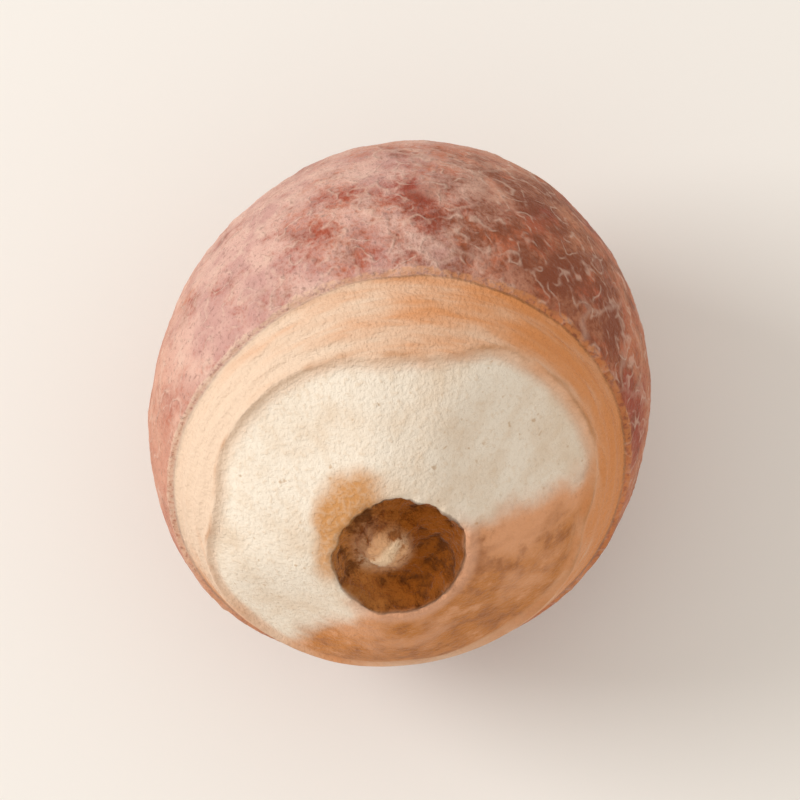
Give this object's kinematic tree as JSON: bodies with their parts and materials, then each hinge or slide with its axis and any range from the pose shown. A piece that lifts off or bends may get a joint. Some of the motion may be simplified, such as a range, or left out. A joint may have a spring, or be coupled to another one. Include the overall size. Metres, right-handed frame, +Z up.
{
  "type": "fox nut",
  "caption": "Dried fox nut: a round seed in a red-brown coat, bare at one end down to the white kernel, with a brown pitted scar.",
  "frame": {"origin": "middle of the nut's footprint on the surface that it lies on, inside its small flat rest spot", "axes": "+Z up; the nut's own axis points to -Y and up, so its white end and scar face front and up; +X is to the right of someone who faces that end"},
  "size_m": [0.0076, 0.008, 0.008],
  "materials": {
    "seed": "dry and matt: thin papery red-brown coat with pale veins, tan band, chalky cream kernel at one end, rough brown scar"
  },
  "bodies": {
    "root": {"fox_nut": "seed"}
  },
  "joints": []
}
